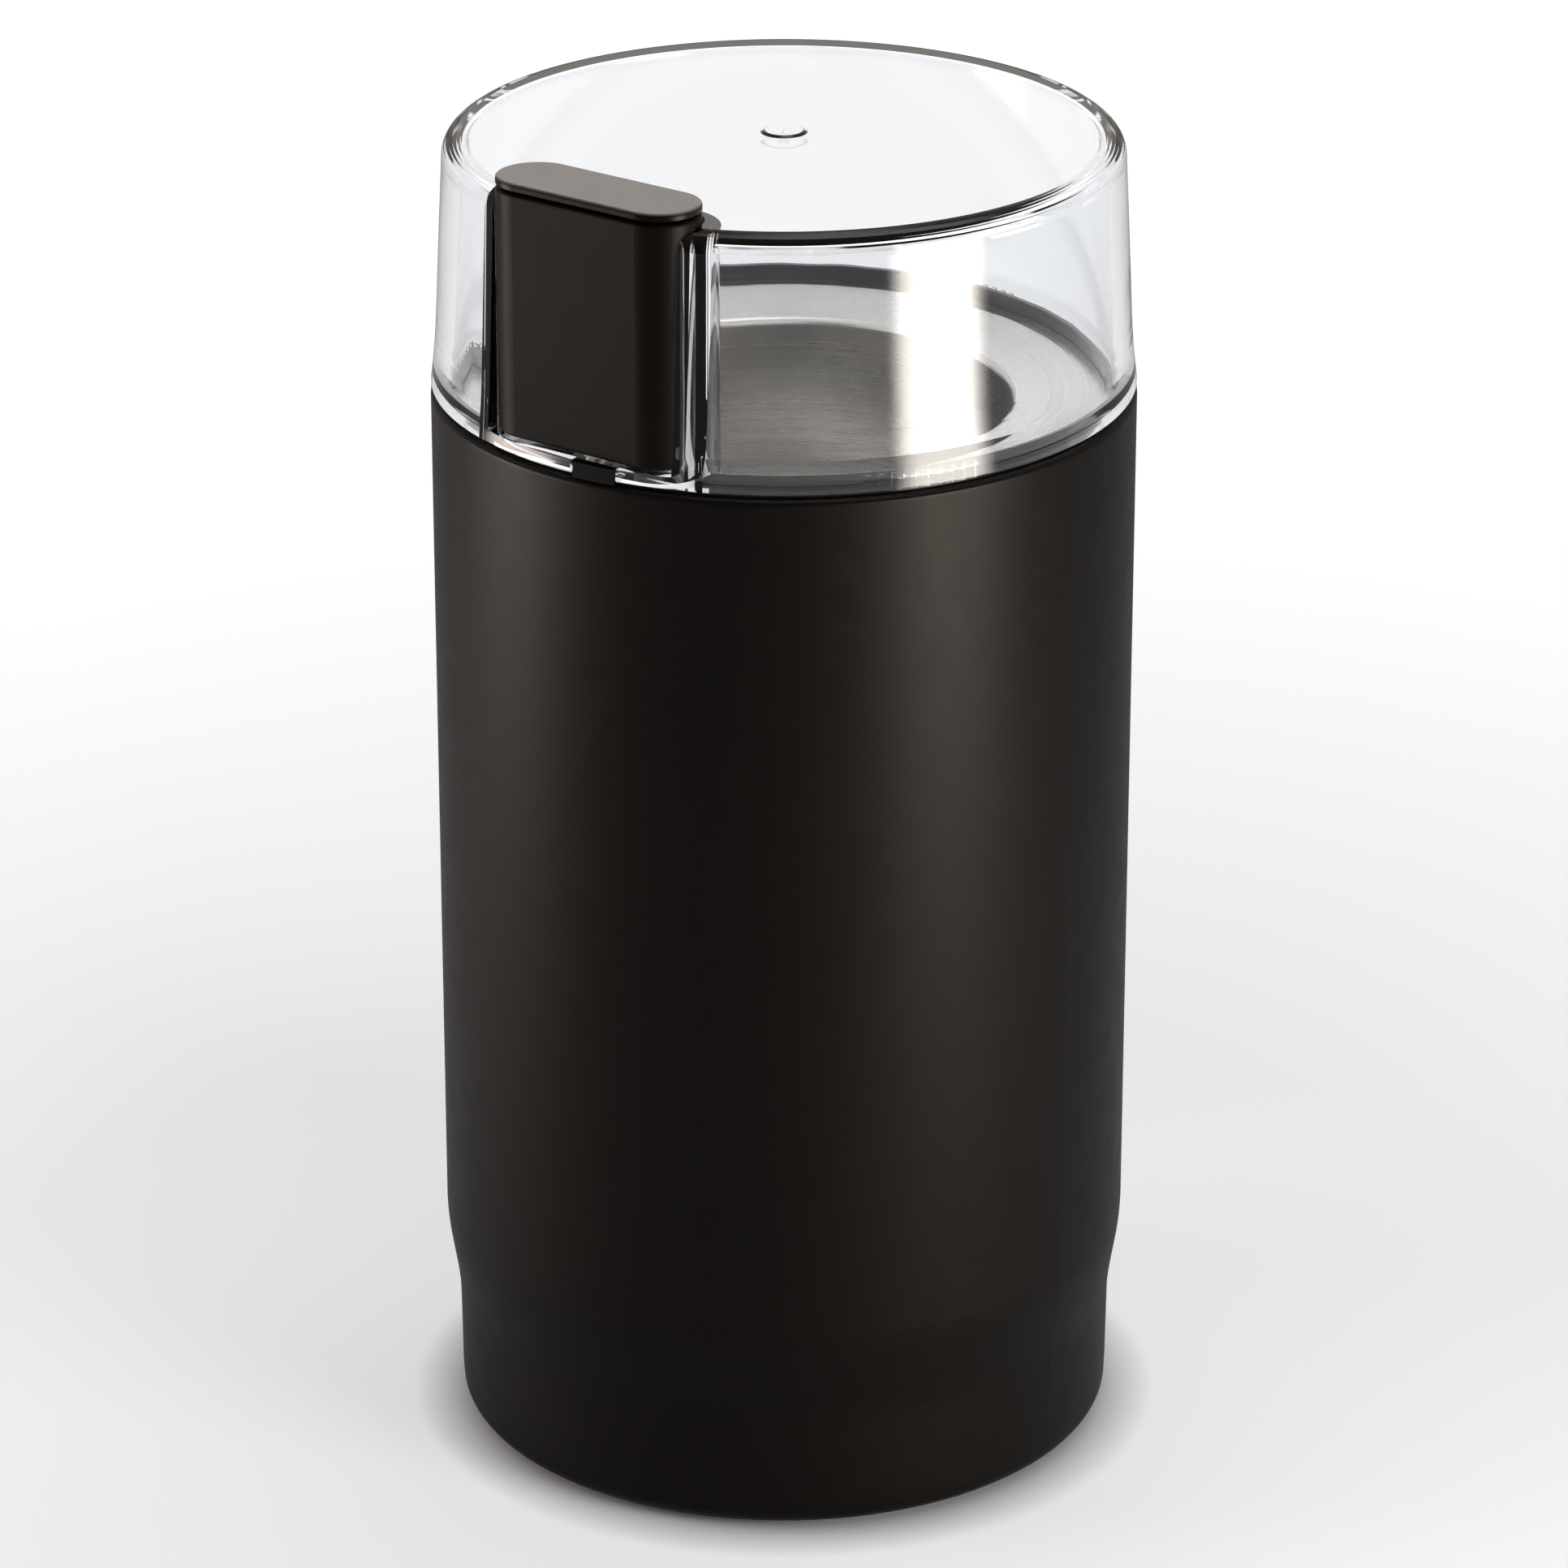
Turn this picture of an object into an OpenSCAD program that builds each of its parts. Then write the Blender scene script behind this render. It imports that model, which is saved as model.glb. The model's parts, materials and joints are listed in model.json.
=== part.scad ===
// Electric spice grinder: a motor base with a steel bowl, a clear lift-off lid
// and a spring-returned press bar in the lid that works the switch in the base.
// Millimetres, +Z up, origin on the table under the spindle, front towards -Y.

/* [Sleeve] */
// Outer diameter of the sleeve
body_d = 90; // [84:0.5:100]
// Height of the sleeve's rim above the table
rim_z = 143; // [138:0.5:160]
// Thickness of the sleeve's wall
sleeve_wall = 2.2; // [1.8:0.1:2.6]
// Radius of the sleeve's rim
rim_round = 0.8; // [0.4:0.1:1]
// Height at which the sleeve starts to draw in
waist_z = 29; // [26:0.5:36]
// Height at which the drawn-in foot starts
foot_z = 15.5; // [12:0.5:18]
// How far the sleeve draws in at the waist
waist_in = 1.4; // [0.8:0.1:1.8]
// Further taper of the foot
foot_taper = 0.4; // [0.1:0.1:0.8]
// Radius of the bottom edge
foot_round = 2.5; // [1.5:0.1:3]
// Width of the lip round the bottom opening
foot_lip = 2.8; // [2.7:0.1:3.4]

/* [Lid] */
// Height of the lid over the sleeve's rim
lid_rise = 33; // [28:0.5:40]
// Thickness of the clear wall
lid_wall = 2.5; // [2:0.1:2.8]
// Radius of the lid's top edge
lid_round = 2.5; // [1.5:0.1:3.5]
// Inward slope of the wall, millimetres a millimetre of height
lid_slope = 0.05; // [0.02:0.005:0.07]
// Outward flare of the lid's skirt
lid_flare = 0.4; // [0:0.1:0.6]
// Height of the flared stretch
flare_h = 8.5; // [6:0.5:10]
// Number of friction ribs in each group
rib_count = 10; // [6:1:12]
// Distance between friction ribs
rib_pitch = 1.7; // [1.5:0.1:2]

/* [Press bar] */
// Length of the bar across the lid
bar_l = 29.2; // [26:0.2:31]
// Thickness of the bar
bar_t = 10.4; // [9.8:0.1:11]
// Distance from the bar's outer face to the sleeve's outside
bar_inset = 1.85; // [1.8:0.05:2.4]
// Height of the bar's top over the lid
bar_proud = 2.3; // [1.8:0.1:4]
// Thickness of the bar's walls
bar_wall = 1.4; // [1.2:0.1:1.5]
// Thickness of the cap's rim
cap_t = 1; // [0.8:0.1:1.5]
// Groove under the cap
cap_groove = 0.25; // [0.15:0.05:0.4]
// Travel of the bar
bar_travel = 1.4; // [1:0.1:1.5]
// Radius of the stem
stem_r = 2.2; // [2:0.05:2.3]

/* [Bowl] */
// Depth of the bowl below its lip
bowl_depth = 37; // [34:0.5:40]
// Thickness of the steel
bowl_t = 0.7; // [0.5:0.1:0.9]
// Radius between wall and floor
bowl_round = 9; // [6:0.5:12]
// Drop of the bowl's sloped flange
funnel_drop = 1.8; // [1:0.1:2]

/* [Blade] */
// Tip-to-tip length of the blade
blade_l = 50; // [40:1:52]
// Width of the blade's wings
blade_w = 10; // [8:0.5:12]
// Thickness of the blade
blade_t = 1.5; // [1.2:0.1:2]
// Upward bend of the wings, degrees
blade_bend = 14; // [6:1:18]

/* [Motor] */
// Radius of the shaft
shaft_r = 2.5; // [2.3:0.1:2.8]
// Length of the laminated stack
stack_h = 26; // [20:1:28]
// Length of the stator's long side
stator_l = 58; // [54:1:60]
// Length of the stator's short side
stator_w = 50; // [46:1:52]
// Thickness of the field coils
coil_t = 4.4; // [4:0.1:5]
// Number of armature slots and commutator bars
slot_count = 12; // [8:2:14]
// Radius of the commutator
commutator_r = 7; // [6.5:0.5:8]
// Radius of the cooling fan
fan_r = 26; // [20:1:28]
// Number of fan vanes
vane_count = 11; // [7:1:13]

/* [Switch] */
// Length of the microswitch
switch_l = 18; // [16:0.5:18]
// Depth of the microswitch
switch_t = 5.8; // [5.4:0.1:6]
// Height of the microswitch
switch_h = 10; // [9:0.5:12]
// Radius of the push rod
plunger_r = 2; // [1.8:0.1:2.2]

/* [Base cover] */
// Thickness of the cover
cover_t = 2.2; // [2:0.1:2.8]
// Radius of the rubber feet
foot_r = 5; // [4:0.5:6]
// Thickness of the rubber feet
foot_h = 2.4; // [2:0.1:2.6]
// Height of the cover's underside above the table
ground_gap = 1.2; // [1:0.1:1.4]
// Width of the air slots
vent_w = 2; // [1.5:0.1:2.4]
// Radius of the cord inlet's bore
inlet_r = 3.6; // [3:0.1:3.8]

/* [Fits] */
// Gap round the press bar in its recess
bar_gap = 0.25; // [0.2:0.05:0.3]
// Gap between the seated lid and the base
seat_gap = 0.1; // [0.05:0.05:0.2]
// Side clearance of loose pieces
clear = 0.35; // [0.3:0.05:0.45]
// Radial running clearance of shafts and rods
run = 0.05; // [0.03:0.01:0.08]

/* [Hidden] */
$fn = 96;
eps = 0.01;

// Radii of the sleeve and of what sits in its rim
body_r = body_d / 2;
sleeve_r = body_r - sleeve_wall;
sole_r = body_r - waist_in - foot_taper;
sole_z = ground_gap - 0.4;
opening_r = sole_r - foot_lip;
collar_t = 2.1;
collar_z = rim_z + 0.6;
rebate_z = collar_z - collar_t;
collar_r = body_r - 1.2;
rebate_r = collar_r + 0.15;
skirt_r = sleeve_r - 0.2;
skirt_t = 2;
skirt_h = 9;
spigot_h = 1.7;
spigot_t = 1.1;

// Lid
lid_z = collar_z + seat_gap;
lid_top_z = rim_z + lid_rise;
lid_base_r = body_r;
lid_in_r = lid_base_r - lid_wall;
spigot_r = lid_in_r - 0.5;
ring_z = collar_z + spigot_h;
rib_h = 0.3;

// Press bar and its recess; the bar's ends are half circles
bar_c = (bar_l - bar_t) / 2;
bar_half_t = bar_t / 2;
bar_y = -(body_r - bar_inset - bar_half_t);
recess_wall = 2;
recess_r = bar_half_t + bar_gap;
tube_r = recess_r + recess_wall;
floor_z = collar_z - 1.2;
floor_t = 1.7;
bar_z = floor_z + floor_t + seat_gap + bar_travel;
bar_top_z = lid_top_z + bar_proud;
cap_z = bar_top_z - cap_t;
web_z = bar_z + 13;
web_t = 2;
key_w = 6;
key_turn = 5;
key_r = body_r - 0.2;
clip_t = 0.5;
clip_r = 3.8;
clip_z = floor_z - 0.1 - clip_t;
stem_z = clip_z - 0.7;

// Bowl
bowl_edge_r = spigot_r - spigot_t - 0.2;
bowl_edge_z = collar_z - 0.2;
brim_w = 2.3;
bowl_in_r = -bar_y - tube_r - clear - bowl_t - 0.5;
lip_z = bowl_edge_z - funnel_drop;
deck_in_r = bowl_in_r + bowl_t + 1.2;
edge_t = 1.8;
bowl_floor_z = lip_z - bowl_depth;
hub_hole_r = shaft_r + 1.8;
hub_rise = 1.5;

// Levels of the chassis and the motor, from the bowl down
seal_h = 3;
chassis_t = 3;
air_hole_r = 4;
air_ring_r = sleeve_r - air_hole_r - 5.8;
chassis_z = bowl_floor_z - bowl_t - seal_h - chassis_t;
damper_h = 3;
bracket_t = 3;
top_bracket_z = chassis_z - damper_h - bracket_t;
end_turn_h = 6.5;
stack_z = top_bracket_z - end_turn_h - 1 - stack_h;
commutator_h = 11;
commutator_z = stack_z - end_turn_h - 2 - commutator_h;
brush_z = commutator_z + commutator_h / 2;
bottom_bracket_z = commutator_z - 3 - bracket_t;
fan_h = 9;
fan_hub_r = 7;
fan_disc_t = 1.4;
vane_t = 1.2;
vane_lean = 18;
fan_z = bottom_bracket_z - 4 - fan_h;
shaft_z = fan_z - 1.5;
screw_x = stator_l / 2 - 4;
screw_hole_r = 1.7;
motor_screw_r = 1.6;
motor_head_r = 3.2;
motor_head_h = 2;
coil_r = screw_x - 3;
coil_gap = 1.6;
armature_r = coil_r - coil_t - coil_gap;
air_gap = 0.5;
slot_r = 1.7;
slot_in = 3.2;
slot_mouth = 1.2;
turn_r = 6.4;
turn_in = 8;
slit_w = 0.4;
insulator_w = 0.9;
insulator_h = 1.6;
window_x = coil_r - 0.5;
window_w = 24;
bracket_w = 15;
leg_w = 7;
bushing_r = 5.5;
bushing_h = 6;
boss_wall = 2;
holder_y = commutator_r + 1.2;
holder_l = 17;
holder_w = 8;
holder_h = 7;
tube_wall = 0.7;
brush_l = 9.2;
brush_gap = 0.2;
brush_spring_r = 1.9;
brush_wire_r = 0.35;

// Blade, from its washer up
thread_r = shaft_r - 0.3;
washer_z = bowl_floor_z + 3;
washer_h = 1.2;
blade_z = washer_z + washer_h;
nut_flange_r = 5.5;
nut_flange_h = 1;
nut_r = 4.6;
nut_h = 3.4;
nut_dome_r = 3.9;

// Posts between chassis and collar, and the dampers under the chassis
post_r = 3.2;
post_ring_r = sleeve_r - 5.6;
post_angles = [45, 135, 225, 315];
block_w = 24;
block_t = 6;
block_h = 14;
block_y = sleeve_r - 4 - block_t / 2;
clamp_pitch = 7.5;
clamp_r = 1.8;
damper_ring_r = block_y - block_t / 2 - 7.6;
damper_angles = [90, 270];
damper_r = 4.5;
damper_bore_r = 1.7;
damper_screw_r = 1.5;
damper_head_r = 3;
post_screw_r = 1.2;
post_head_r = 2.8;
post_screw_l = 14;
small_head_h = 1.6;
deck_under_z = rebate_z - 1.5;

// Switch and push rod, under the press bar
switch_z = rim_z - 30;
guide_h = 7;
pad_z = collar_z - 5;
guide_z = pad_z - guide_h;
plunger_top_z = stem_z - 0.3;
flange_t = 1.2;
flange_z = guide_z - 0.3 - flange_t;
rod_z = switch_z + switch_h + 1.6;
leg_t = 2;
pin_r = 1.1;
pin_hole_l = 5.2;
pin_grip = 4;
lug_h = 5;
lug_x = 6.5;
lug_w = 1.2;
lug_t = 3.2;
button_w = 2.8;
button_t = 2;
rod_flange_w = 1.4;
spring_gap = 0.02;
bar_wire_r = 0.35;
bar_coil_r = stem_r + 0.75;
rod_wire_r = 0.3;
rod_coil_r = plunger_r + 0.65;

// Base cover
cover_z = ground_gap;
cover_r = opening_r - 0.3;
cover_rim_h = 5;
boss_r = 3.6;
boss_ring_r = opening_r - boss_r - 0.6;
boss_angles = [0, 120, 240];
boss_z = cover_z + cover_t;
boss_h = 14;
cover_rim_t = 1.6;
cover_hole_r = 1.7;
cover_sink_r = 3.1;
cover_sink_h = 0.8;
cover_screw_r = 1.3;
cover_screw_l = 9;
cover_head_r = 2.8;
cover_head_h = 0.6;
vent_field_r = 22;
vent_pitch = 4;
foot_ring_r = 30;
foot_angles = [45, 135, 225, 315];
inlet_z = 13;
gland_r = inlet_r + 1.6;
gland_l = 9;
gland_y = sole_r + 0.4;
gland_in_y = gland_y - gland_l;
gland_rim_w = 1.6;
gland_rim_t = 1.8;
lead_r = 0.9;

// Drawing helpers
function arc(c, r, a0, a1, n = 6) =
    [for (i = [0:n]) let(a = a0 + (a1 - a0) * i / n) c + r * [cos(a), sin(a)]];
function smooth(t) = let(u = max(0, min(1, t))) u * u * (3 - 2 * u);
function sleeve_out(z) = body_r
    - waist_in * smooth((waist_z - z) / (waist_z - foot_z))
    - foot_taper * max(0, (waist_z - z) / waist_z);
function lid_out(z) = lid_base_r - lid_flare - lid_slope * (z - lid_z)
    + lid_flare * pow(max(0, (lid_z + flare_h - z) / flare_h), 2);

module revolve(points) {
    rotate_extrude() polygon(points);
}

module ring(r_out, r_in, z, h) {
    translate([0, 0, z]) difference() {
        cylinder(r = r_out, h = h);
        translate([0, 0, -1]) cylinder(r = r_in, h = h + 2);
    }
}

module at_angles(angles, r) {
    for (a = angles) rotate(a) translate([r, 0, 0]) children();
}

module slab(x, y, z0, z1) {
    translate([-x / 2, -y / 2, z0]) cube([x, y, z1 - z0]);
}

// A prism with half-round ends, of end radius r, standing over the press bar's place
module bar_prism(r, z0, z1) {
    translate([0, bar_y, z0]) linear_extrude(z1 - z0) {
        square([2 * bar_c, 2 * r], center = true);
        for (s = [-1, 1]) translate([s * bar_c, 0]) circle(r);
    }
}

// The same form with a shaped side: points run up the side as [radius, height]
module bar_turned(points) {
    translate([0, bar_y, 0]) {
        for (s = [-1, 1]) translate([s * bar_c, 0, 0]) rotate_extrude() polygon(points);
        translate([-bar_c, 0, 0]) rotate([90, 0, 90]) linear_extrude(2 * bar_c) {
            polygon(points);
            mirror([1, 0]) polygon(points);
        }
    }
}

// A round wire of radius r along a path that never runs along side
module tube(path, r, side, k = 6) {
    last = len(path) - 1;
    points = [for (i = [0:last], j = [0:k - 1])
        let(d = path[min(i + 1, last)] - path[max(i - 1, 0)], u = cross(d, side) / norm(cross(d, side)),
            v = cross(d, u) / norm(d), b = 360 * j / k)
        path[i] + r * (cos(b) * u + sin(b) * v)];
    sides = [for (i = [0:last - 1], j = [0:k - 1], half = [0, 1])
        let(m = (j + 1) % k, a = i * k + j, b = i * k + m, c = a + k, d = b + k)
        half == 0 ? [a, b, d] : [a, d, c]];
    ends = [[for (j = [k - 1:-1:0]) j], [for (j = [0:k - 1]) last * k + j]];
    polyhedron(points, concat(sides, ends), convexity = 10);
}

// A coil spring of mean radius r between two heights
module coil(r, wire_r, z0, z1, turns) {
    n = 16;
    lift = (z1 - z0 - 2 * wire_r) / (n * turns);
    tube([for (i = [0:n * turns]) [r * cos(360 * i / n), r * sin(360 * i / n), z0 + wire_r + i * lift]],
         wire_r, [0, 0, 1]);
}

// A pan-head screw pointing up, its head's underside at z
module screw_up(r, head_r, head_h, z, length) {
    translate([0, 0, z]) cylinder(r = r, h = length);
    translate([0, 0, z - head_h]) cylinder(r = head_r, h = head_h);
}

// ---- Base ----

module body_shell() {
    color([0.09, 0.085, 0.08]) difference() {
        union() {
            revolve(concat(
                [[opening_r, sole_z]],
                arc([sole_r - foot_round, sole_z + foot_round], foot_round, -90, 0),
                [for (z = [foot_round + sole_z + 1.7:1.5:waist_z]) [sleeve_out(z), z]],
                [[body_r, waist_z + 1]],
                arc([body_r - rim_round, rim_z - rim_round], rim_round, 0, 90, 4),
                [[rebate_r, rim_z], [rebate_r, rebate_z], [sleeve_r, rebate_z]],
                [[sleeve_r, waist_z + 1]],
                [for (z = [waist_z:-2.25:sole_z + foot_round + 3]) [sleeve_out(z) - sleeve_wall, z]],
                [[opening_r, sole_z + foot_round + 1.5]]
            ));
            at_angles(boss_angles, boss_ring_r) {
                translate([0, 0, boss_z]) cylinder(r = boss_r, h = boss_h);
                translate([0, -1, boss_z]) cube([sole_r - 1 - boss_ring_r, 2, boss_h]);
            }
        }
        at_angles(boss_angles, boss_ring_r)
            translate([0, 0, boss_z - 1]) cylinder(r = cover_screw_r, h = boss_h - 1);
        translate([0, 0, inlet_z]) rotate([-90, 0, 0]) cylinder(r = gland_r, h = body_r + 1);
    }
}

module collar_ring() {
    seat_z = bowl_edge_z - bowl_t;
    seat_r = bowl_edge_r + 0.2;
    color([0.05, 0.05, 0.05]) difference() {
        union() {
            revolve([
                [collar_r, rebate_z], [collar_r, collar_z], [spigot_r, collar_z],
                [spigot_r, ring_z - 0.3], [spigot_r - 0.3, ring_z], [seat_r, ring_z],
                [seat_r, seat_z], [seat_r - brim_w, seat_z],
                [deck_in_r, seat_z - funnel_drop], [deck_in_r, seat_z - funnel_drop - edge_t],
                [skirt_r - skirt_t, deck_under_z], [skirt_r - skirt_t, rebate_z - skirt_h],
                [skirt_r, rebate_z - skirt_h], [skirt_r, rebate_z]
            ]);
            intersection() {
                bar_prism(tube_r, pad_z, floor_z - seat_gap);
                cylinder(r = skirt_r, h = rim_z + 10);
            }
            translate([0, bar_y, guide_z]) cylinder(r = plunger_r + 1.6, h = guide_h + eps);
            for (s = [-1, 1]) translate([s * (switch_l + leg_t) / 2, bar_y, 0])
                slab(leg_t, switch_t - 1, switch_z - 1, pad_z + eps);
            rotate(key_turn) translate([0, -(key_r + collar_r - 1) / 2, 0])
                slab(key_w, key_r - collar_r + 2, rim_z + 0.15, ring_z - 0.1);
        }
        intersection() {
            bar_prism(tube_r + clear, floor_z - seat_gap, ring_z + 1);
            cylinder(r = collar_r - 0.6, h = rim_z + 10);
        }
        bar_prism(recess_r, collar_z, ring_z + 1);
        translate([0, 0, collar_z - 3]) cutter_outside(key_r, 10);
        translate([0, bar_y, stem_z - bar_travel - 1]) cylinder(r = clip_r + clear, h = 10);
        translate([0, bar_y, guide_z - 1]) cylinder(r = plunger_r + run, h = guide_h + 9);
        translate([0, bar_y, switch_z + switch_h / 2]) rotate([0, 90, 0])
            cylinder(r = pin_r, h = switch_l + 3 * leg_t, center = true);
        at_angles(post_angles, post_ring_r)
            translate([0, 0, deck_under_z - 6]) cylinder(r = post_r + 0.2, h = 6 - 1.2);
    }
}

// Everything beyond a radius, to trim a form to a cylinder
module cutter_outside(r, h) {
    difference() {
        cylinder(r = r + 20, h = h);
        translate([0, 0, -1]) cylinder(r = r, h = h + 2);
    }
}

module bowl_gasket() {
    under_z = bowl_edge_z - bowl_t - funnel_drop - edge_t;
    in_r = bowl_in_r + bowl_t + 0.05;
    color([0.12, 0.12, 0.12]) difference() {
        union() {
            ring(deck_in_r - 0.05, in_r, under_z - 1, edge_t - 0.1);
            ring(deck_in_r + 1.5, in_r, under_z - 1.2, 1.1);
        }
        bar_prism(tube_r + clear, 0, rim_z + 10);
    }
}

module grinding_bowl() {
    edge = bowl_edge_r;
    brim = edge - brim_w;
    lip = 0.8;
    wall_r = bowl_in_r;
    hub_z = bowl_floor_z + hub_rise;
    color([0.75, 0.76, 0.77]) difference() {
        revolve(concat(
            [[edge, bowl_edge_z - bowl_t], [edge, bowl_edge_z], [brim, bowl_edge_z]],
            arc([wall_r + lip + 0.3, lip_z - lip], lip + 0.3, 100, 180, 5),
            arc([wall_r - bowl_round, bowl_floor_z + bowl_round], bowl_round, 0, -90, 8),
            [[hub_hole_r + 5, bowl_floor_z], [hub_hole_r + 3.5, hub_z], [hub_hole_r, hub_z]],
            [[hub_hole_r, hub_z - bowl_t], [hub_hole_r + 3, hub_z - bowl_t]],
            [[hub_hole_r + 4.6, bowl_floor_z - bowl_t]],
            arc([wall_r - bowl_round, bowl_floor_z + bowl_round], bowl_round + bowl_t, -90, 0, 8),
            [[wall_r + bowl_t, lip_z - bowl_t - 1], [wall_r + bowl_t + 0.6, lip_z - bowl_t]],
            [[brim + 0.1, bowl_edge_z - bowl_t]]
        ));
        bar_prism(tube_r + clear, lip_z - 4, rim_z + 10);
    }
}

module shaft_seal() {
    color([0.1, 0.1, 0.1]) {
        ring(hub_hole_r + 4, shaft_r + run, bowl_floor_z - bowl_t - seal_h, seal_h);
        ring(hub_hole_r + 2.6, shaft_r + run, bowl_floor_z - bowl_t - 1, hub_rise + 1);
    }
}

module chassis() {
    color([0.16, 0.16, 0.17]) {
        difference() {
            translate([0, 0, chassis_z]) cylinder(r = sleeve_r - 0.3, h = chassis_t);
            translate([0, 0, chassis_z - 1]) cylinder(r = shaft_r + 2, h = chassis_t + 2);
            at_angles(damper_angles, damper_ring_r)
                translate([0, 0, chassis_z - 1]) cylinder(r = damper_screw_r, h = chassis_t + 2);
            at_angles([for (k = [0:7]) 22.5 + 45 * k], air_ring_r)
                translate([0, 0, chassis_z - 1]) cylinder(r = air_hole_r, h = chassis_t + 2);
            at_angles(post_angles, post_ring_r)
                translate([0, 0, chassis_z - 1]) cylinder(r = post_screw_r, h = chassis_t + 2);
        }
        at_angles(post_angles, post_ring_r)
            ring(post_r, post_screw_r, chassis_z, deck_under_z - 1.2 - chassis_z);
    }
}

module motor_dampers() {
    color([0.08, 0.08, 0.08]) at_angles(damper_angles, damper_ring_r)
        ring(damper_r, damper_bore_r, chassis_z - damper_h, damper_h);
}

module damper_screws() {
    color([0.6, 0.6, 0.62]) at_angles(damper_angles, damper_ring_r)
        screw_up(damper_screw_r, damper_head_r, small_head_h, top_bracket_z,
                 bracket_t + damper_h + chassis_t - 0.5);
}

module post_screws() {
    color([0.6, 0.6, 0.62]) at_angles(post_angles, post_ring_r)
        screw_up(post_screw_r, post_head_r, small_head_h, chassis_z, post_screw_l);
}

// ---- Motor ----

module top_bracket() {
    color([0.55, 0.56, 0.58]) difference() {
        union() {
            slab(stator_l, bracket_w, top_bracket_z, top_bracket_z + bracket_t);
            slab(bracket_w, 2 * (damper_ring_r + damper_r), top_bracket_z, top_bracket_z + bracket_t);
            for (s = [-1, 1]) translate([s * (stator_l - leg_w) / 2, 0, 0])
                slab(leg_w, bracket_w, stack_z + stack_h, top_bracket_z);
            translate([0, 0, top_bracket_z - 0.5])
                cylinder(r = bushing_r + boss_wall, h = bushing_h);
        }
        translate([0, 0, top_bracket_z - 1]) cylinder(r = bushing_r, h = bushing_h + 2);
        at_angles(damper_angles, damper_ring_r)
            translate([0, 0, top_bracket_z - 1]) cylinder(r = damper_screw_r, h = bracket_t + 2);
        motor_screw_holes(stack_z + stack_h - 1, top_bracket_z - 2.5);
    }
}

module motor_screw_holes(z0, z1) {
    for (s = [-1, 1]) translate([s * screw_x, 0, z0]) cylinder(r = screw_hole_r, h = z1 - z0);
}

module top_bushing() {
    color([0.72, 0.58, 0.3])
        ring(bushing_r, shaft_r + run, top_bracket_z - 0.5, bushing_h);
}

module stator_core() {
    color([0.4, 0.41, 0.43]) difference() {
        translate([0, 0, stack_z]) linear_extrude(stack_h) difference() {
            intersection() {
                square([stator_l, stator_w], center = true);
                circle(stator_l / 2 + 4);
            }
            circle(armature_r + air_gap);
            square([2 * window_x, window_w], center = true);
        }
        motor_screw_holes(stack_z - 1, stack_z + stack_h + 1);
    }
}

module field_coils() {
    r0 = coil_r - coil_t;
    r1 = coil_r;
    color([0.62, 0.3, 0.14]) for (s = [0, 180]) rotate(s) {
        for (z = [stack_z - end_turn_h + 1, stack_z + stack_h])
            translate([0, 0, z]) rotate(20) rotate_extrude(angle = 140)
                translate([r0, 0]) square([r1 - r0, end_turn_h - 1]);
        for (a = [21, 150]) rotate(a) translate([0, 0, stack_z - 1])
            rotate_extrude(angle = 9) translate([r0 + 0.3, 0]) square([r1 - r0 - 0.6, stack_h + 2]);
    }
}

module bottom_bracket() {
    color([0.55, 0.56, 0.58]) difference() {
        union() {
            slab(stator_l, bracket_w, bottom_bracket_z, bottom_bracket_z + bracket_t);
            slab(bracket_w, 2 * (holder_y + holder_l), bottom_bracket_z, bottom_bracket_z + bracket_t);
            for (s = [-1, 1]) translate([s * (stator_l - leg_w) / 2, 0, 0])
                slab(leg_w, bracket_w, bottom_bracket_z + bracket_t, stack_z);
            translate([0, 0, bottom_bracket_z + bracket_t + 1.5 - bushing_h])
                cylinder(r = bushing_r + boss_wall, h = bushing_h);
        }
        translate([0, 0, bottom_bracket_z + bracket_t + 1 - bushing_h])
            cylinder(r = bushing_r, h = bushing_h + 2);
        motor_screw_holes(bottom_bracket_z - 1, stack_z + 1);
    }
}

module bottom_bushing() {
    color([0.72, 0.58, 0.3])
        ring(bushing_r, shaft_r + run, bottom_bracket_z + bracket_t + 1.5 - bushing_h, bushing_h);
}

module brush_holders() {
    color([0.78, 0.62, 0.3]) for (s = [0, 180]) rotate(s) difference() {
        union() {
            translate([0, holder_y + holder_l / 2, 0])
                slab(holder_w, holder_l, brush_z - holder_h / 2, brush_z + holder_h / 2);
            translate([0, holder_y + holder_l - 5, 0])
                slab(holder_w - 2, 8, bottom_bracket_z + bracket_t, brush_z - holder_h / 2);
        }
        translate([0, holder_y + holder_l / 2 - 1.2, 0])
            slab(holder_w - 2 * tube_wall, holder_l,
                 brush_z - holder_h / 2 + tube_wall, brush_z + holder_h / 2 - tube_wall);
    }
}

module carbon_brushes() {
    gap = tube_wall + 0.1;
    color([0.13, 0.13, 0.14]) for (s = [0, 180]) rotate(s) difference() {
        translate([0, commutator_r + brush_gap + brush_l / 2, 0])
            slab(holder_w - 2 * gap, brush_l, brush_z - holder_h / 2 + gap, brush_z + holder_h / 2 - gap);
        translate([0, 0, commutator_z]) cylinder(r = commutator_r + 0.3, h = commutator_h);
    }
}

module brush_springs() {
    color([0.7, 0.7, 0.72]) for (s = [0, 180]) rotate(s)
        translate([0, 0, brush_z]) rotate([-90, 0, 0])
            coil(brush_spring_r, brush_wire_r, commutator_r + brush_gap + brush_l + 0.05,
                 holder_y + holder_l - 1.25, 5);
}

module motor_screws() {
    color([0.6, 0.6, 0.62]) for (s = [-1, 1]) translate([s * screw_x, 0, 0])
        screw_up(motor_screw_r, motor_head_r, motor_head_h, bottom_bracket_z,
                 top_bracket_z - 3 - bottom_bracket_z);
}

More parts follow.
